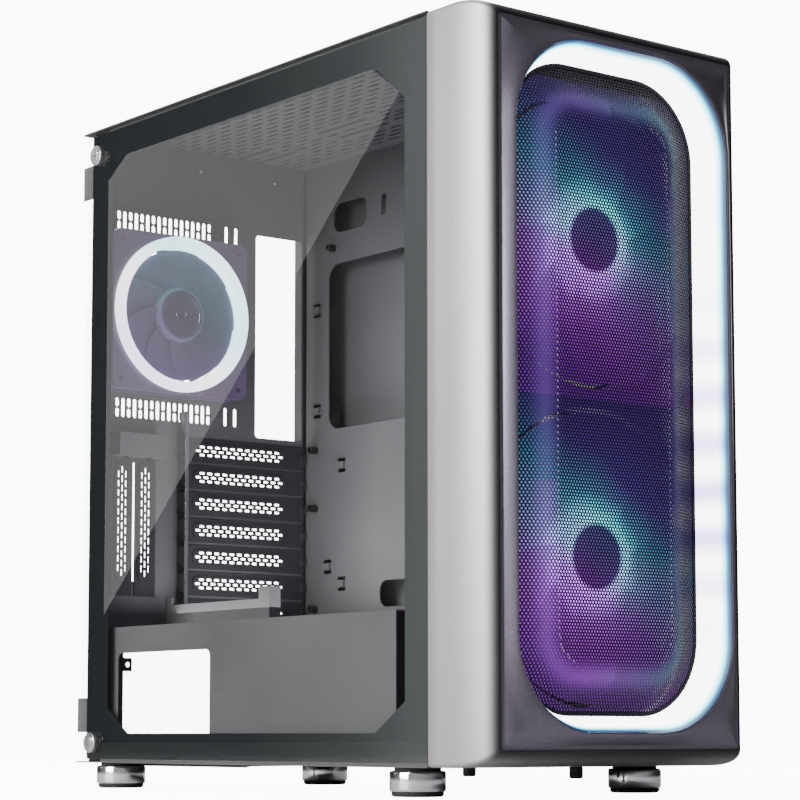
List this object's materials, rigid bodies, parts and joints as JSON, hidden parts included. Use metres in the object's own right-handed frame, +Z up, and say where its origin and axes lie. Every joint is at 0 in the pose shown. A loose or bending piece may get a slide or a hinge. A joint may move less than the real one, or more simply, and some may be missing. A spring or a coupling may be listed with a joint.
{
  "type": "desktop computer tower",
  "caption": "Empty desktop tower case with a printed glass side, lit fans, a meshed front inside a glowing ring, steel side, slot covers and chromed feet.",
  "frame": {"origin": "under the middle of the bounding box, on the surface that the feet stand on", "axes": "+Z up, the mesh front faces -Y, the glass side faces -X"},
  "size_m": [0.2256, 0.478, 0.4885],
  "materials": {
    "case_steel": "fine textured black powder coat",
    "cover_steel": "black powder coat",
    "bright_steel": "bare zinc plated sheet",
    "black_screw": "black oxide",
    "standoff": "blackened brass",
    "chrome": "mirror chrome",
    "rubber": "matt",
    "black_plastic": "fine texture",
    "fan_plastic": "smoked translucent",
    "fan_blade": "smoked translucent",
    "fan_blade_lit": "milky translucent, lit from the hub",
    "light_diffuser": "milky translucent, lit",
    "lamp_strip": "white circuit strip with small lamps",
    "shell_grey": "satin titanium grey, fine grain",
    "bezel_dark": "satin near-black",
    "mesh_steel": "black perforated sheet",
    "tempered_glass": "clear with a slate printed border",
    "clear_rubber": "soft",
    "nickel": "nickel plate",
    "filter_mesh": "nylon mesh in a plastic frame",
    "circuit_board": "black solder mask",
    "button_plastic": "satin"
  },
  "bodies": {
    "chassis": {"base_pan": "case_steel", "rear_panel": "case_steel", "top_panel": "case_steel", "motherboard_tray": "case_steel", "front_plate": "case_steel", "psu_shroud": "case_steel", "card_support": "case_steel", "slot_ledge": "bright_steel", "vertical_slot_bracket": "case_steel", "vertical_slot_cover_1": "cover_steel", "vertical_slot_cover_2": "cover_steel", "slot_screws": "black_screw", "panel_rivets": "bright_steel", "board_standoffs": "standoff", "foot_rings": "chrome", "foot_pads": "rubber", "foot_screws": "black_screw", "drive_cage": "case_steel", "drive_tray_lower": "black_plastic", "drive_tray_upper": "black_plastic", "cage_screws": "black_screw", "rear_fan_frame": "fan_plastic", "rear_fan_ring": "light_diffuser", "rear_fan_screws": "black_screw", "front_fan_frame_upper": "fan_plastic", "front_fan_frame_lower": "fan_plastic", "front_fan_screws": "black_screw", "io_board": "circuit_board", "usb_ports": "bright_steel", "audio_jacks": "black_plastic", "lighting_hub": "black_plastic", "slot_cover_1": "cover_steel", "slot_cover_2": "cover_steel", "slot_cover_3": "cover_steel", "slot_cover_4": "cover_steel", "slot_cover_5": "cover_steel", "slot_cover_6": "cover_steel", "slot_cover_7": "cover_steel"},
    "rear_fan": {"rear_fan_rotor": "fan_blade"},
    "front_fan_upper": {"front_fan_rotor_upper": "fan_blade_lit"},
    "front_fan_lower": {"front_fan_rotor_lower": "fan_blade_lit"},
    "power_key": {"power_button": "button_plastic"},
    "light_key": {"light_button": "button_plastic"},
    "roof_filter": {"top_filter": "filter_mesh"},
    "floor_filter": {"psu_filter": "filter_mesh"},
    "side_panel": {"right_panel": "case_steel"},
    "side_screw_lower": {"right_thumbscrew_lower": "black_screw"},
    "side_screw_upper": {"right_thumbscrew_upper": "black_screw"},
    "glass_door": {"glass_panel": "tempered_glass", "glass_hooks": "bright_steel", "glass_bushes": "clear_rubber"},
    "glass_screw_lower": {"glass_thumbscrew_lower": "nickel"},
    "glass_screw_upper": {"glass_thumbscrew_upper": "nickel"},
    "front_cover": {"front_shell": "shell_grey", "front_bezel": "bezel_dark", "light_ring": "light_diffuser", "ring_led_strip": "lamp_strip", "front_mesh": "mesh_steel", "front_clips": "black_plastic"}
  },
  "joints": [
    {"name": "rear_fan_spin", "type": "hinge", "parent": "chassis", "child": "rear_fan", "pos_m": [-0.03993, 0.207, 0.3529], "axis": [0, 1, 0], "continuous": true},
    {"name": "front_fan_upper_spin", "type": "hinge", "parent": "chassis", "child": "front_fan_upper", "pos_m": [0.00278, -0.193, 0.35], "axis": [0, 1, 0], "continuous": true},
    {"name": "front_fan_lower_spin", "type": "hinge", "parent": "chassis", "child": "front_fan_lower", "pos_m": [0.00278, -0.193, 0.1485], "axis": [0, 1, 0], "continuous": true},
    {"name": "power_press", "type": "slide", "parent": "chassis", "child": "power_key", "axis": [0, 0, -1], "range_m": [0, 0.0015], "stiffness_N_per_m": 900},
    {"name": "light_press", "type": "slide", "parent": "chassis", "child": "light_key", "axis": [0, 0, -1], "range_m": [0, 0.0015], "stiffness_N_per_m": 900},
    {"name": "roof_filter_lift", "type": "slide", "parent": "chassis", "child": "roof_filter", "axis": [0, 0, 1], "range_m": [0, 0.03]},
    {"name": "floor_filter_slide", "type": "slide", "parent": "chassis", "child": "floor_filter", "axis": [0, 1, 0], "range_m": [0, 0.155]},
    {"name": "side_panel_slide", "type": "slide", "parent": "chassis", "child": "side_panel", "axis": [0, 1, 0], "range_m": [0, 0.025]},
    {"name": "side_screw_lower_out", "type": "slide", "parent": "side_panel", "child": "side_screw_lower", "axis": [0, 1, 0], "range_m": [0, 0.007]},
    {"name": "side_screw_upper_out", "type": "slide", "parent": "side_panel", "child": "side_screw_upper", "axis": [0, 1, 0], "range_m": [0, 0.007]},
    {"name": "glass_swing", "type": "hinge", "parent": "chassis", "child": "glass_door", "pos_m": [-0.10723, -0.1755, 0.2524], "axis": [0, 0, 1], "range_deg": [0, 20]},
    {"name": "glass_screw_lower_out", "type": "slide", "parent": "glass_door", "child": "glass_screw_lower", "axis": [-1, 0, 0], "range_m": [0, 0.0095]},
    {"name": "glass_screw_upper_out", "type": "slide", "parent": "glass_door", "child": "glass_screw_upper", "axis": [-1, 0, 0], "range_m": [0, 0.0095]},
    {"name": "front_cover_pull", "type": "slide", "parent": "chassis", "child": "front_cover", "axis": [0, -1, 0], "range_m": [0, 0.03]}
  ]
}
